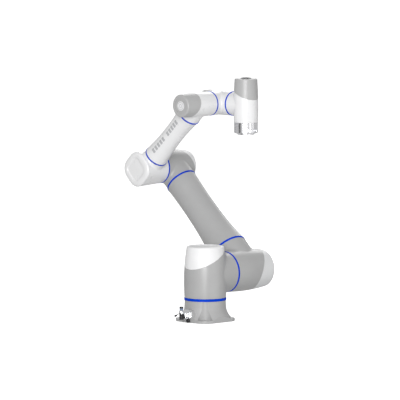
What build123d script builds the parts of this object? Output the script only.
from build123d import *
import os
from dataclasses import dataclass
from math import asin, cos, radians, sin

os.makedirs("parts", exist_ok=True)

# ---------------------------------------------------------------------------
# Driving dimensions, millimetres and degrees.
# Origin: centre of the foot's underside, on the first joint axis. +Z is up.
# Joints 2, 3 and 4 turn about Y; the arm folds in planes parallel to XZ.
# ---------------------------------------------------------------------------
SHOULDER_HEIGHT = 170.5      # joint 2 axis above the mounting face
UPPER_ARM_LENGTH = 512.0     # joint 2 axis to joint 3 axis
FOREARM_LENGTH = 363.0       # joint 3 axis to joint 4 axis
UPPER_ARM_LEAN = -46.3       # from vertical, towards -X
FOREARM_LEAN = 46.2          # from vertical, towards +X
UPPER_ARM_Y = 189.0          # plane of the upper arm
FOREARM_Y = 66.0             # plane of the forearm
WRIST_Y = 191.0              # plane of the wrist
WRIST_REACH = 125.0          # joint 4 axis to joint 6 axis
JOINT_2_Y = 101.5
JOINT_3_Y = 125.0
JOINT_4_Y = 128.5
JOINT_5_REACH = 62.5         # joint 4 axis to the joint 5 split
JOINT_6_DROP = 63.6          # joint 5 axis down to the joint 6 split
TOOL_FACE_DROP = 108.5       # joint 5 axis down to the tool face

FOOT_SIDE = 175.0
FOOT_CORNER = 40.0
FOOT_THICKNESS = 10.5
FOOT_PCD = 170.0
FOOT_BOLT_R = 4.5
FOOT_POCKET_R = 28.0
FOOT_POCKET_AT = 101.2
COLUMN_R = 75.0

WALL = 5.0                   # castings
CAP_WALL = 3.0               # wall of a cap inside its lip
SEAM_GAP = 0.7               # open groove between a cap and its casting
LIP = 4.0                    # how far a cap's lip goes into its casting
DISH = 2.0                   # depth of the shallow recess in a cap's end
JOINT_GAP = 0.35             # between the faces of a turning joint
BAND_DEPTH = 5.0             # radial thickness of a blue ring
RUNNING = 0.05               # radial clearance of a spigot in its bearing

# Drives are alike at every joint; these are fractions of the ring radius.
SPIGOT = 0.55
BEARING_R = 0.78
FLOOR = 0.24                 # thickness of a housing's floor under the gear
STATOR_R = 0.82
STATOR_AT = 0.58
STATOR_LENGTH = 0.34


@dataclass
class Module:
    """One T-shaped joint housing: a barrel with a branch at right angles."""

    end_r: float             # barrel radius at the joint
    mid_r: float             # barrel radius abreast of the branch
    top_r: float             # barrel radius at the cap's end
    branch_r: float
    blend: float             # fillet between barrel and branch
    top_edge: float
    seam_z: float            # height of the cap seam on the barrel axis
    seam_slope: float
    joint: float             # barrel centre to joint split
    top: float               # barrel centre to the cap's end


@dataclass
class Band:
    """Blue ring at the end of a housing."""

    radius: float
    height: float
    turns: bool = True


TURRET = Module(75.5, 77.0, 67.5, 73.2, 20, 7, 62, 0.54, 87.5, 102)
SHOULDER = Module(73.8, 76.0, 67.5, 71.8, 20, 7, 62, 0.54, 87.5, 102)
ELBOW = Module(58.0, 60.8, 53.0, 57.0, 11, 6, 48, 0.50, UPPER_ARM_Y - JOINT_3_Y, 80)
FORE_WRIST = Module(43.8, 45.0, 41.2, 43.4, 8, 5, 38, 0.42, JOINT_4_Y - FOREARM_Y, 86)
WRIST_1 = Module(44.0, 45.2, 41.2, 43.4, 8, 5, 38, 0.42, JOINT_5_REACH, 86)
WRIST_2 = Module(43.7, 44.8, 41.0, 43.2, 8, 4, 38, 0.42, JOINT_6_DROP, 95.6)

BAND_1 = Band(76.4, 7.5)
BASE_BAND = Band(76.4, 10.0)   # BAND_1 as the base carries it, set into the column
BAND_2 = Band(74.4, 7.5)
UPPER_LOW_BAND = Band(72.6, 7.5, turns=False)
UPPER_HIGH_BAND = Band(58.8, 6.5, turns=False)
BAND_3 = Band(58.8, 6.5)
FORE_LOW_BAND = Band(44.6, 5.6, turns=False)
FORE_HIGH_BAND = Band(44.6, 5.6, turns=False)
BAND_4 = Band(44.4, 5.6)
BAND_5 = Band(44.8, 5.6)
BAND_6 = Band(43.9, 0.0)     # a bare split line, with no blue ring

UP = Vector(0, 0, 1)
ACROSS = Vector(0, 1, 0)
AHEAD = Vector(1, 0, 0)
upper_dir = Vector(sin(radians(UPPER_ARM_LEAN)), 0, cos(radians(UPPER_ARM_LEAN)))
fore_dir = Vector(sin(radians(FOREARM_LEAN)), 0, cos(radians(FOREARM_LEAN)))
shoulder_axis = UP * SHOULDER_HEIGHT
elbow_axis = shoulder_axis + upper_dir * UPPER_ARM_LENGTH
wrist_axis = elbow_axis + fore_dir * FOREARM_LENGTH

# Module frames: z along the barrel towards its cap, x along the branch.
turret_frame = Plane(shoulder_axis, x_dir=ACROSS, z_dir=UP)
shoulder_frame = Plane(shoulder_axis + ACROSS * UPPER_ARM_Y, x_dir=upper_dir, z_dir=ACROSS)
elbow_frame = Plane(elbow_axis + ACROSS * UPPER_ARM_Y, x_dir=-upper_dir, z_dir=ACROSS)
fore_elbow_frame = Plane(elbow_axis + ACROSS * FOREARM_Y, x_dir=fore_dir, z_dir=-ACROSS)
fore_wrist_frame = Plane(wrist_axis + ACROSS * FOREARM_Y, x_dir=-fore_dir, z_dir=-ACROSS)
wrist_1_frame = Plane(wrist_axis + ACROSS * WRIST_Y, x_dir=-ACROSS, z_dir=-AHEAD)
wrist_2_frame = Plane(
    wrist_axis + ACROSS * WRIST_Y + AHEAD * WRIST_REACH, x_dir=-AHEAD, z_dir=UP
)

UPPER_TUBE_START = 99.3      # ring centres, from the axis behind them
UPPER_TUBE_END = UPPER_ARM_LENGTH - 76.8
FORE_TUBE_START = 69.2
FORE_TUBE_END = FOREARM_LENGTH - 58.3

BUTTON_R = 18.0
BUTTON_RISE = 5.0
BUTTON_CROWN = 3.0           # height of the domed part
BUTTON_SEAT = 9.0
FLANGE_PCD = 50.0
FLANGE_TAP_R = 2.5           # drilled for M6 thread
FLANGE_BORE_R = 15.75
FLANGE_SPIGOT_R = 31.5


def finish(part, name):
    part.label = name
    export_step(part, f"parts/{name}.step")


def section(frame):
    """Plane whose x is the branch and whose y is the barrel axis."""
    return Plane(frame.origin, x_dir=frame.x_dir, z_dir=-frame.y_dir)


def branch(frame):
    return Plane(frame.origin, x_dir=frame.y_dir, z_dir=frame.x_dir)


def flipped(plane):
    return Plane(plane.origin, x_dir=plane.x_dir, z_dir=-plane.z_dir)


def disc(plane, outer, length, inner=0.0, mode=Mode.ADD):
    """Round plate or tube standing on a plane, added to the open part."""
    with BuildSketch(plane) as face:
        Circle(outer)
        if inner:
            Circle(inner, mode=Mode.SUBTRACT)
    extrude(face.sketch, amount=length, mode=mode)


def barrel(frame, size, bottom, top, inset=0.0):
    """Solid of revolution with a bulging side, about the barrel axis."""
    with BuildPart() as body:
        with BuildSketch(section(frame)):
            with BuildLine():
                side = ThreePointArc(
                    (size.end_r - inset, bottom),
                    (size.mid_r - inset, 0),
                    (size.top_r - inset, top),
                )
                Polyline(side @ 1, (0, top), (0, bottom), side @ 0)
            make_face()
        revolve(axis=Axis(frame.origin, frame.z_dir))
    return body.part


def blend_edges(part, frame, radius, reach):
    """Edges of the saddle where a branch of this radius leaves the barrel."""
    saddle = []
    for edge in part.edges():
        middle = edge @ 0.5
        out = (middle - frame.origin).dot(frame.x_dir)
        off_axis = (middle - frame.origin - frame.x_dir * out).length
        if abs(off_axis - radius) < 0.1 and 5 < out < reach - 3:
            if edge.geom_type != GeomType.LINE:
                saddle.append(edge)
    return saddle


def tee(frame, size, bottom, reach):
    """Outer form of a module: barrel, branch, blend and rounded cap end."""
    with BuildPart() as body:
        add(barrel(frame, size, bottom, size.top))
        disc(branch(frame), size.branch_r, reach)
        fillet(blend_edges(body, frame, size.branch_r, reach), size.blend)
        rims = body.edges().filter_by(GeomType.CIRCLE)
        fillet(rims.sort_by(Axis(frame.origin, frame.z_dir))[-1], size.top_edge)
    return body.part


def seam(frame, size, shift=0.0):
    """Slanted cap seam: lowest opposite the branch."""
    normal = frame.z_dir - frame.x_dir * size.seam_slope
    return Plane(frame.origin + frame.z_dir * (size.seam_z + shift), z_dir=normal)


def output_boss(plane, band):
    """Round boss under a ring; a turning joint also gets a hollow spigot."""
    hole = 0.3 * band.radius
    spigot = band.height + 0.18 * band.radius
    if band.turns:
        disc(plane, band.radius - BAND_DEPTH, band.height - JOINT_GAP)
        disc(plane, SPIGOT * band.radius, spigot)
    else:
        disc(plane, band.radius - BAND_DEPTH, band.height)
    disc(plane.offset(-3 * WALL), hole, 3 * WALL + spigot, mode=Mode.SUBTRACT)


def motor_housing(frame, size, band, reach, outlet):
    """Casting that holds a joint's drive; its branch ends in a boss."""
    radius = band.radius
    face = band.height / 2 - size.joint
    end = reach - outlet.height / 2
    with BuildPart() as casting:
        add(tee(frame, size, face, end))
        add(
            barrel(frame, size, face + FLOOR * radius, size.top - WALL, WALL),
            mode=Mode.SUBTRACT,
        )
        disc(branch(frame), size.branch_r - WALL, end - 2 * WALL, mode=Mode.SUBTRACT)
        split(bisect_by=seam(frame, size), keep=Keep.BOTTOM)
        disc(
            frame.offset(face + STATOR_AT * radius), size.end_r - 2,
            STATOR_LENGTH * radius, inner=STATOR_R * radius,
        )
        disc(frame.offset(face), BEARING_R * radius, 0.2 * radius, mode=Mode.SUBTRACT)
        disc(frame.offset(face), 0.66 * radius, 0.4 * radius, mode=Mode.SUBTRACT)
        output_boss(branch(frame).offset(end), outlet)
    return casting.part


def module_cap(frame, size, band, reach, outlet):
    """Shell above the seam, with a lip that drops inside the casting."""
    face = band.height / 2 - size.joint
    end = reach - outlet.height / 2
    with BuildPart() as lip:
        add(barrel(frame, size, face, size.top - WALL, WALL))
        split(bisect_by=seam(frame, size, -LIP), keep=Keep.TOP)
        split(bisect_by=seam(frame, size, LIP), keep=Keep.BOTTOM)
        disc(branch(frame), size.branch_r, end, mode=Mode.SUBTRACT)
    with BuildPart() as cap:
        add(tee(frame, size, face, end))
        split(bisect_by=seam(frame, size, SEAM_GAP), keep=Keep.TOP)
        add(lip.part)
        inset = WALL + CAP_WALL
        add(barrel(frame, size, face, size.top - WALL, inset), mode=Mode.SUBTRACT)
        disc(branch(frame), size.branch_r - WALL, end, mode=Mode.SUBTRACT)
    return cap.part


def blue_ring(plane, band):
    """Elastomer band around an output boss."""
    height = band.height - JOINT_GAP if band.turns else band.height
    with BuildPart() as strip:
        disc(plane, band.radius, height, inner=band.radius - BAND_DEPTH)
        fillet(strip.edges().filter_by(GeomType.CIRCLE).group_by(SortBy.RADIUS)[-1], 0.8)
    return strip.part


def drive(number, plane, band, joined=False):
    """Drive of one joint on its split plane, which faces the motor side.

    The wrist's gears are joined to their bearings in one unit.
    """
    radius = band.radius
    face = plane.offset(band.height / 2)
    stator_face = face.offset(STATOR_AT * radius)
    gear_face = face.offset(FLOOR * radius)
    bearing_face = face.offset(0.02 * radius)
    bore = SPIGOT * radius + RUNNING
    with BuildPart() as gear:
        disc(gear_face, 0.8 * radius, 0.29 * radius, inner=0.42 * radius)
        with BuildSketch(gear_face):
            with PolarLocations(0.7 * radius, 12):
                Circle(0.035 * radius)
        extrude(amount=0.29 * radius, mode=Mode.SUBTRACT)
        if joined:
            disc(bearing_face, BEARING_R * radius, 0.17 * radius, inner=bore)
            disc(bearing_face, 0.66 * radius, 0.24 * radius, inner=0.6 * radius)
    finish(gear.part, f"j{number}_strain_gear")
    if not joined:
        with BuildPart() as bearing:
            disc(bearing_face, BEARING_R * radius, 0.17 * radius, inner=bore)
        finish(bearing.part, f"j{number}_output_bearing")
    with BuildPart() as stator:
        disc(stator_face, STATOR_R * radius, STATOR_LENGTH * radius, inner=0.52 * radius)
        with BuildSketch(stator_face):
            with PolarLocations(0.56 * radius, 18):
                Rectangle(0.1 * radius, 0.05 * radius)
        extrude(amount=STATOR_LENGTH * radius, mode=Mode.SUBTRACT)
    finish(stator.part, f"j{number}_motor_stator")
    with BuildPart() as rotor:
        disc(face.offset(0.3 * radius), 0.2 * radius, 0.8 * radius)
        disc(face.offset(0.32 * radius), 0.4 * radius, 0.16 * radius)
        disc(face.offset(0.6 * radius), 0.5 * radius, 0.3 * radius)
        disc(face, 0.13 * radius, 2 * radius, mode=Mode.SUBTRACT)
    finish(rotor.part, f"j{number}_motor_rotor")


def flared_tube(frame, stations):
    """Hollow arm tube about the branch axis; stations are (distance, radius)."""
    with BuildPart() as body:
        with BuildSketch(section(frame)):
            with BuildLine():
                outside = Spline(stations)
                inside = Spline([(x, r - WALL) for x, r in stations])
                Line(outside @ 0, inside @ 0)
                Line(outside @ 1, inside @ 1)
            make_face()
        revolve(axis=Axis(frame.origin, frame.x_dir))
        for (x, radius), facing in ((stations[0], 1), (stations[-1], -1)):
            end = Plane(frame.origin + frame.x_dir * x, z_dir=frame.x_dir * facing)
            disc(end, radius - WALL / 2, WALL, inner=0.4 * radius)
    return body.part


# ---------------------------------------------------------------------------
# Base
# ---------------------------------------------------------------------------
joint_1 = Plane.XY.offset(SHOULDER_HEIGHT - TURRET.joint)
column_top = SHOULDER_HEIGHT - TURRET.joint + BAND_1.height / 2 - BASE_BAND.height
BOSS_HALF = 30.0
BOSS_CENTRE_Z = 20.0
BOSS_FACE_Y = -90.0
COVER_R = 62.0
COVER_T = 3.0
COVER_RECESS = 3.5
PLATE_W = 40.0
PLATE_H = 36.0
PLATE_CUT = 10.0
PLATE_T = 4.0
SCREW_SPOTS = ((PLATE_W / 2 - 4.5, 0), (4.5 - PLATE_W / 2, 0))
SOCKET_R = 8.8
NUT_R = 10.6
SOCKET_DEPTH = 8.0
PLUG_OUT = 31.0
port_face = Plane((0, BOSS_FACE_Y, 30), x_dir=AHEAD, z_dir=-ACROSS)
socket = Plane((0, BOSS_FACE_Y, 24), x_dir=AHEAD, z_dir=-ACROSS)
plug_foot = Plane((0, BOSS_FACE_Y - PLUG_OUT, 14), x_dir=AHEAD, z_dir=UP)

with BuildPart() as base_casting:
    with BuildSketch(Plane.XZ):
        with BuildLine():
            flare = ThreePointArc((98, FOOT_THICKNESS), (81.5, 33), (76, 60))
            Polyline(
                flare @ 1, (COLUMN_R, column_top), (0, column_top),
                (0, FOOT_THICKNESS), flare @ 0,
            )
        make_face()
    revolve(axis=Axis.Z)
    with BuildSketch(Plane.XZ.offset(50)):
        with Locations((0, BOSS_CENTRE_Z)):
            Circle(BOSS_HALF)
        with Locations((0, BOSS_CENTRE_Z / 2)):
            Rectangle(2 * BOSS_HALF, BOSS_CENTRE_Z)
    extrude(amount=-BOSS_FACE_Y - 50)
    with BuildSketch(Plane.XY):
        RectangleRounded(FOOT_SIDE, FOOT_SIDE, FOOT_CORNER)
        with Locations((0, BOSS_FACE_Y + 30)):
            Rectangle(2 * BOSS_HALF, 60)
    extrude(amount=column_top, mode=Mode.INTERSECT)
    with BuildSketch(Plane.XY.offset(FOOT_THICKNESS)):
        with PolarLocations(FOOT_POCKET_AT, 4, start_angle=45):
            Circle(FOOT_POCKET_R)
    extrude(amount=column_top, mode=Mode.SUBTRACT)
    with BuildSketch(Plane.XY):
        RectangleRounded(FOOT_SIDE, FOOT_SIDE, FOOT_CORNER)
    extrude(amount=FOOT_THICKNESS)
    chamfer(base_casting.edges().group_by(Axis.Z)[0], 1.5)
    disc(Plane.XY, COVER_R, COVER_RECESS, mode=Mode.SUBTRACT)
    disc(Plane.XY, COVER_R - 6, column_top - 2 * WALL, mode=Mode.SUBTRACT)
    output_boss(Plane.XY.offset(column_top), BASE_BAND)
    with BuildSketch(Plane.XY):
        with PolarLocations(FOOT_PCD / 2, 4, start_angle=45):
            Circle(FOOT_BOLT_R)
    extrude(amount=FOOT_THICKNESS, mode=Mode.SUBTRACT)
    disc(flipped(socket), SOCKET_R, 40, mode=Mode.SUBTRACT)
    with BuildSketch(port_face.offset(-6)):
        with Locations(*SCREW_SPOTS):
            Circle(1.5)
    extrude(amount=6, mode=Mode.SUBTRACT)
finish(base_casting.part, "base_casting")

with BuildPart() as base_cover:
    disc(Plane.XY.offset(COVER_RECESS - COVER_T), COVER_R - 0.5, COVER_T)
    with BuildSketch(Plane.XY.offset(COVER_RECESS - COVER_T)):
        with PolarLocations(COVER_R - 4, 6, start_angle=30):
            Circle(1.7)
    extrude(amount=COVER_T, mode=Mode.SUBTRACT)
finish(base_cover.part, "base_cover")
finish(blue_ring(Plane.XY.offset(column_top), BASE_BAND), "j1_ring")
drive(1, joint_1, BAND_1)

# ---------------------------------------------------------------------------
# Connectors on the base, facing -Y
# ---------------------------------------------------------------------------
with BuildPart() as connector_plate:
    with BuildSketch(port_face) as octagon:
        Rectangle(PLATE_W, PLATE_H)
        chamfer(octagon.vertices(), PLATE_CUT)
    extrude(amount=PLATE_T)
    chamfer(connector_plate.faces().sort_by(Axis.Y)[0].edges(), 0.8)
    with BuildSketch(port_face):
        with Locations(*SCREW_SPOTS):
            Circle(1.6)
    extrude(amount=PLATE_T, mode=Mode.SUBTRACT)
    disc(socket, SOCKET_R, PLATE_T, mode=Mode.SUBTRACT)
finish(connector_plate.part, "connector_plate")

with BuildPart() as plate_screws:
    with BuildSketch(port_face.offset(-6)):
        with Locations(*SCREW_SPOTS):
            Circle(1.5)
    extrude(amount=6 + PLATE_T)
    with BuildSketch(port_face.offset(PLATE_T)):
        with Locations(*SCREW_SPOTS):
            Circle(2.9)
    extrude(amount=2)
    with BuildSketch(port_face.offset(PLATE_T + 1)):
        with Locations(*SCREW_SPOTS):
            RegularPolygon(1.4, 6)
    extrude(amount=1, mode=Mode.SUBTRACT)
finish(plate_screws.part, "plate_screws")

with BuildPart() as receptacle:
    disc(socket.offset(-SOCKET_DEPTH), SOCKET_R, SOCKET_DEPTH + PLATE_T + 5, inner=7)
    disc(socket.offset(-SOCKET_DEPTH), 7, 3)
finish(receptacle.part, "receptacle")

with BuildPart() as coupling_nut:
    disc(socket.offset(PLATE_T + 0.5), NUT_R, 16, inner=SOCKET_R)
    chamfer(coupling_nut.edges().filter_by(GeomType.CIRCLE).group_by(SortBy.RADIUS)[-1], 1)
    with BuildSketch(socket.offset(PLATE_T + 2.5)):
        with PolarLocations(NUT_R + 0.2, 20):
            Circle(0.7)
    extrude(amount=12, mode=Mode.SUBTRACT)
    disc(socket.offset(PLATE_T + 5.5), SOCKET_R, 11, inner=7.5)
finish(coupling_nut.part, "coupling_nut")

with BuildPart() as plug_body:
    disc(socket.offset(PLATE_T + 5.5), 7.5, PLUG_OUT - PLATE_T - 5.5)
    disc(plug_foot, 7.5, 22)
finish(plug_body.part, "plug_body")

with BuildPart() as plug_elbow:
    disc(plug_foot.offset(22), 9, 3)
    with BuildSketch(Plane((0, BOSS_FACE_Y - PLUG_OUT, 0), x_dir=AHEAD, z_dir=-ACROSS)):
        with BuildLine():
            dome = ThreePointArc((9, 39), (8.6, 44.5), (5.5, 49))
            Polyline(dome @ 1, (0, 49), (0, 39), dome @ 0)
        make_face()
    revolve(axis=Axis((0, BOSS_FACE_Y - PLUG_OUT, 0), (0, 0, 1)))
finish(plug_elbow.part, "plug_elbow")

with BuildPart() as plug_gland:
    with BuildSketch(plug_foot.offset(35)):
        RegularPolygon(7, 6)
    extrude(amount=6)
finish(plug_gland.part, "plug_gland")

with BuildPart() as gland_cap:
    disc(plug_foot.offset(41), 7, 6)
    fillet(gland_cap.edges().group_by(Axis.Z)[-1], 1)
finish(gland_cap.part, "gland_cap")

cap_place = Plane((11, BOSS_FACE_Y - PLATE_T, 8.9), x_dir=AHEAD, z_dir=-ACROSS)
with BuildPart() as dust_cap:
    disc(cap_place, 7.4, 8)
    fillet(dust_cap.edges().filter_by(GeomType.CIRCLE), 1.2)
    disc(cap_place.offset(5.5), 5, 3, mode=Mode.SUBTRACT)
finish(dust_cap.part, "dust_cap")

with BuildPart() as tether_cap:
    tether_root = Plane((0, BOSS_FACE_Y - PLUG_OUT - 8.2, 38), x_dir=AHEAD, z_dir=(0, -0.94, -0.34))
    disc(tether_root, 1.2, 18)
    disc(tether_root.offset(18), 3.4, 8)
finish(tether_cap.part, "tether_cap")

# ---------------------------------------------------------------------------
# Turret: joint 1 drive, joint 2 boss
# ---------------------------------------------------------------------------
turret_casting = motor_housing(turret_frame, TURRET, BAND_1, JOINT_2_Y, BAND_2)
finish(turret_casting, "turret_casting")
with BuildPart() as turret_cap:
    add(module_cap(turret_frame, TURRET, BAND_1, JOINT_2_Y, BAND_2))
    with BuildSketch(turret_frame.offset(TURRET.top)):
        RectangleRounded(84, 84, 30)
    extrude(amount=-DISH, mode=Mode.SUBTRACT)
finish(turret_cap.part, "turret_cap")

# ---------------------------------------------------------------------------
# Upper arm: joint 2 drive, tube, joint 3 drive
# ---------------------------------------------------------------------------
joint_2 = Plane(shoulder_axis + ACROSS * JOINT_2_Y, x_dir=AHEAD, z_dir=ACROSS)
upper_axis = branch(shoulder_frame)
upper_low = UPPER_TUBE_START - UPPER_LOW_BAND.height / 2
upper_high = UPPER_TUBE_END - UPPER_HIGH_BAND.height / 2
elbow_reach = UPPER_ARM_LENGTH - UPPER_TUBE_END
finish(blue_ring(joint_2.offset(-BAND_2.height / 2), BAND_2), "j2_ring")
drive(2, joint_2, BAND_2)

shoulder_housing = motor_housing(
    shoulder_frame, SHOULDER, BAND_2, UPPER_TUBE_START, UPPER_LOW_BAND
)
finish(shoulder_housing, "shoulder_housing")
with BuildPart() as shoulder_cap:
    add(module_cap(shoulder_frame, SHOULDER, BAND_2, UPPER_TUBE_START, UPPER_LOW_BAND))
    with BuildSketch(shoulder_frame.offset(SHOULDER.top)):
        RectangleRounded(84, 84, 30)
    extrude(amount=-DISH, mode=Mode.SUBTRACT)
finish(shoulder_cap.part, "shoulder_cap")

upper_stations = [
    (upper_low + UPPER_LOW_BAND.height, 71.8), (190, 60.5), (290, 56.0),
    (366, 55.8), (upper_high, 57.8),
]
finish(flared_tube(shoulder_frame, upper_stations), "upper_arm_tube")
with BuildPart() as upper_arm_rings:
    add(blue_ring(upper_axis.offset(upper_low), UPPER_LOW_BAND))
    add(blue_ring(upper_axis.offset(upper_high), UPPER_HIGH_BAND))
finish(upper_arm_rings.part, "upper_arm_rings")

elbow_housing = motor_housing(elbow_frame, ELBOW, BAND_3, elbow_reach, UPPER_HIGH_BAND)
finish(elbow_housing, "elbow_housing")
with BuildPart() as elbow_cap:
    add(module_cap(elbow_frame, ELBOW, BAND_3, elbow_reach, UPPER_HIGH_BAND))
    with BuildSketch(elbow_frame.offset(ELBOW.top)):
        RectangleRounded(66, 66, 22)
    extrude(amount=-DISH, mode=Mode.SUBTRACT)
finish(elbow_cap.part, "elbow_cap")

# ---------------------------------------------------------------------------
# Forearm: joint 3 boss, squircle end cap, tube, joint 4 drive
# ---------------------------------------------------------------------------
CAP_SIDE = 117.0
CAP_CORNER = 44.0
CAP_START = 48.0             # from the forearm plane towards the cap's end
CAP_END = 58.0
CAP_EDGE = 6.0
CAP_RECESS = 3.0
FORE_ELBOW_BLEND = 12.0
joint_3 = Plane(elbow_axis + ACROSS * JOINT_3_Y, x_dir=fore_dir, z_dir=ACROSS)
joint_4 = Plane(wrist_axis + ACROSS * JOINT_4_Y, x_dir=AHEAD, z_dir=-ACROSS)
fore_axis = branch(fore_elbow_frame)
fore_face = FOREARM_Y - JOINT_3_Y + BAND_3.height / 2
fore_low = FORE_TUBE_START - FORE_LOW_BAND.height / 2
fore_high = FORE_TUBE_END - FORE_HIGH_BAND.height / 2
fore_r = ELBOW.end_r

with BuildPart() as elbow_form:
    with BuildSketch(fore_elbow_frame.offset(fore_face)):
        Circle(fore_r)
    with BuildSketch(fore_elbow_frame.offset(CAP_END)):
        RectangleRounded(CAP_SIDE, CAP_SIDE, CAP_CORNER)
    loft()
    disc(fore_axis, FORE_WRIST.branch_r, fore_low)
    necks = blend_edges(elbow_form, fore_elbow_frame, FORE_WRIST.branch_r, fore_low)
    fillet(necks, FORE_ELBOW_BLEND)
    fillet(elbow_form.faces().sort_by(Axis.Y)[0].edges(), CAP_EDGE)

fore_floor = fore_elbow_frame.offset(fore_face + 2 * WALL)
with BuildPart() as forearm_elbow:
    add(elbow_form.part)
    split(bisect_by=fore_elbow_frame.offset(CAP_START), keep=Keep.BOTTOM)
    disc(fore_floor, fore_r - WALL, CAP_START - fore_face, mode=Mode.SUBTRACT)
    disc(fore_axis, FORE_WRIST.branch_r - WALL, fore_low - 2 * WALL, mode=Mode.SUBTRACT)
    output_boss(joint_3.offset(-BAND_3.height / 2), BAND_3)
    output_boss(fore_axis.offset(fore_low), FORE_LOW_BAND)
finish(forearm_elbow.part, "forearm_elbow_housing")

lip_face = fore_elbow_frame.offset(CAP_START - LIP)
with BuildPart() as forearm_elbow_cap:
    add(elbow_form.part)
    split(bisect_by=fore_elbow_frame.offset(CAP_START + SEAM_GAP), keep=Keep.TOP)
    disc(lip_face, fore_r - WALL, 2 * LIP)
    disc(
        lip_face, fore_r - WALL - CAP_WALL, LIP + CAP_WALL, mode=Mode.SUBTRACT,
    )
    with BuildSketch(fore_elbow_frame.offset(CAP_END)):
        RectangleRounded(82, 82, 24)
    extrude(amount=-CAP_RECESS, mode=Mode.SUBTRACT)
finish(forearm_elbow_cap.part, "forearm_elbow_cap")

finish(blue_ring(joint_3.offset(-BAND_3.height / 2), BAND_3), "j3_ring")
drive(3, joint_3, BAND_3)

fore_stations = [
    (fore_low + FORE_LOW_BAND.height, 43.6), (125, 39.0), (187, 36.8),
    (250, 38.6), (fore_high, 43.6),
]
finish(flared_tube(fore_elbow_frame, fore_stations), "forearm_tube")
with BuildPart() as forearm_rings:
    add(blue_ring(fore_axis.offset(fore_low), FORE_LOW_BAND))
    add(blue_ring(fore_axis.offset(fore_high), FORE_HIGH_BAND))
finish(forearm_rings.part, "forearm_rings")

fore_wrist_reach = FOREARM_LENGTH - FORE_TUBE_END
fore_wrist_housing = motor_housing(
    fore_wrist_frame, FORE_WRIST, BAND_4, fore_wrist_reach, FORE_HIGH_BAND
)
finish(fore_wrist_housing, "forearm_wrist_housing")
badge_face = fore_wrist_frame.offset(FORE_WRIST.top - DISH)
with BuildPart() as fore_wrist_cap:
    add(module_cap(fore_wrist_frame, FORE_WRIST, BAND_4, fore_wrist_reach, FORE_HIGH_BAND))
    disc(badge_face, 28, DISH, mode=Mode.SUBTRACT)
finish(fore_wrist_cap.part, "forearm_wrist_cap")
with BuildPart() as round_badge:
    disc(badge_face, 17, 1.2)
    chamfer(round_badge.faces().sort_by(Axis.Y)[0].edges(), 0.5)
finish(round_badge.part, "round_badge")
drive(4, joint_4, BAND_4, joined=True)

# ---------------------------------------------------------------------------
# Wrist 1: joint 4 boss, joint 5 drive
# ---------------------------------------------------------------------------
joint_5 = Plane(
    wrist_axis + ACROSS * WRIST_Y + AHEAD * JOINT_5_REACH, x_dir=ACROSS, z_dir=-AHEAD
)
wrist_1_reach = WRIST_Y - JOINT_4_Y
wrist_1_housing = motor_housing(wrist_1_frame, WRIST_1, BAND_5, wrist_1_reach, BAND_4)
finish(wrist_1_housing, "wrist_1_housing")
with BuildPart() as wrist_1_cap:
    add(module_cap(wrist_1_frame, WRIST_1, BAND_5, wrist_1_reach, BAND_4))
    disc(wrist_1_frame.offset(WRIST_1.top - DISH), 28, DISH, mode=Mode.SUBTRACT)
finish(wrist_1_cap.part, "wrist_1_cap")
finish(blue_ring(branch(wrist_1_frame).offset(wrist_1_reach - BAND_4.height / 2), BAND_4), "j4_ring")
drive(5, joint_5, BAND_5, joined=True)

# ---------------------------------------------------------------------------
# Wrist 2: joint 5 boss, joint 6 drive, push button
# ---------------------------------------------------------------------------
joint_6 = wrist_2_frame.offset(-WRIST_2.joint)
wrist_2_reach = WRIST_REACH - JOINT_5_REACH
wrist_2_housing = motor_housing(wrist_2_frame, WRIST_2, BAND_6, wrist_2_reach, BAND_5)
finish(wrist_2_housing, "wrist_2_housing")
finish(blue_ring(branch(wrist_2_frame).offset(wrist_2_reach - BAND_5.height / 2), BAND_5), "j5_ring")

wrist_top = wrist_2_frame.offset(WRIST_2.top)
with BuildPart() as wrist_2_cap:
    add(module_cap(wrist_2_frame, WRIST_2, BAND_6, wrist_2_reach, BAND_5))
    disc(wrist_top.offset(-BUTTON_SEAT - 3), BUTTON_R + 4, BUTTON_SEAT)
    disc(wrist_top.offset(-BUTTON_SEAT), BUTTON_R + 0.35, BUTTON_SEAT, mode=Mode.SUBTRACT)
finish(wrist_2_cap.part, "wrist_2_cap")

button_low = WRIST_2.top - BUTTON_SEAT + 2
button_rim = WRIST_2.top + BUTTON_RISE - BUTTON_CROWN
crown_r = (BUTTON_R**2 + BUTTON_CROWN**2) / (2 * BUTTON_CROWN)
crown_middle = crown_r * (1 - cos(asin(0.5 * BUTTON_R / crown_r)))
with BuildPart() as push_button:
    with BuildSketch(section(wrist_2_frame)):
        with BuildLine():
            dome = ThreePointArc(
                (BUTTON_R, button_rim),
                (0.5 * BUTTON_R, WRIST_2.top + BUTTON_RISE - crown_middle),
                (0, WRIST_2.top + BUTTON_RISE),
            )
            Polyline(dome @ 1, (0, button_low), (BUTTON_R, button_low), dome @ 0)
        make_face()
    revolve(axis=Axis(wrist_2_frame.origin, UP))
finish(push_button.part, "push_button")
drive(6, joint_6, BAND_6, joined=True)

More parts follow.
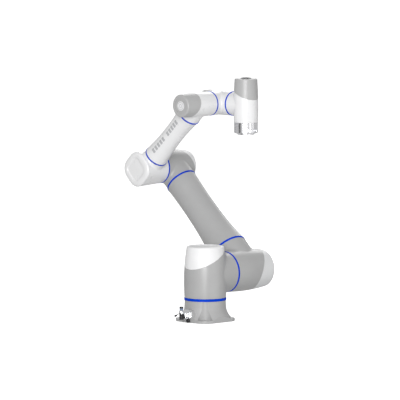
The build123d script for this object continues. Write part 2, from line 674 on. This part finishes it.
# ---------------------------------------------------------------------------
# Tool flange
# ---------------------------------------------------------------------------
SKIRT_END = 103.0            # below the wrist axis
TAP_DEPTH = 10.0
BORE_DEPTH = 6.5
DOWEL_R = 3.0
CONNECTOR_DROP = 92.0
tool_face = wrist_2_frame.offset(-TOOL_FACE_DROP)
skirt_face = wrist_2_frame.offset(-SKIRT_END)
split_face = joint_6.offset(-JOINT_GAP)

connector_seats = []
for turn in (-28, 4):
    out = Vector(cos(radians(turn)), sin(radians(turn)), 0)
    place = wrist_2_frame.origin - UP * CONNECTOR_DROP + out * (BAND_6.radius - 1.5)
    connector_seats.append(Plane(place, z_dir=out))

with BuildPart() as tool_flange:
    disc(skirt_face, BAND_6.radius - 0.2, SKIRT_END - WRIST_2.joint - JOINT_GAP)
    chamfer(tool_flange.edges().group_by(Axis.Z)[0], 2.5)
    disc(tool_face, FLANGE_SPIGOT_R, TOOL_FACE_DROP - SKIRT_END)
    chamfer(tool_flange.edges().group_by(Axis.Z)[0], 0.6)
    disc(split_face, SPIGOT * BAND_6.radius, 0.18 * BAND_6.radius + JOINT_GAP)
    disc(split_face.offset(-26), 0.3 * BAND_6.radius, 60, mode=Mode.SUBTRACT)
    disc(tool_face, FLANGE_BORE_R, BORE_DEPTH, mode=Mode.SUBTRACT)
    with BuildSketch(tool_face):
        with PolarLocations(FLANGE_PCD / 2, 4, start_angle=45):
            Circle(FLANGE_TAP_R)
    extrude(amount=TAP_DEPTH, mode=Mode.SUBTRACT)
    with BuildSketch(tool_face):
        with Locations((FLANGE_PCD / 2, 0)):
            Circle(DOWEL_R)
    extrude(amount=TAP_DEPTH, mode=Mode.SUBTRACT)
    for seat in connector_seats:
        disc(seat, 5.6, 6, mode=Mode.SUBTRACT)
finish(tool_flange.part, "tool_flange")

with BuildPart() as tool_connectors:
    for seat in connector_seats:
        disc(seat, 5.6, 3)
        disc(seat, 4.4, 8.5)
        disc(seat.offset(4), 3.2, 6, mode=Mode.SUBTRACT)
        disc(seat.offset(4), 1.1, 3)
finish(tool_connectors.part, "tool_connectors")
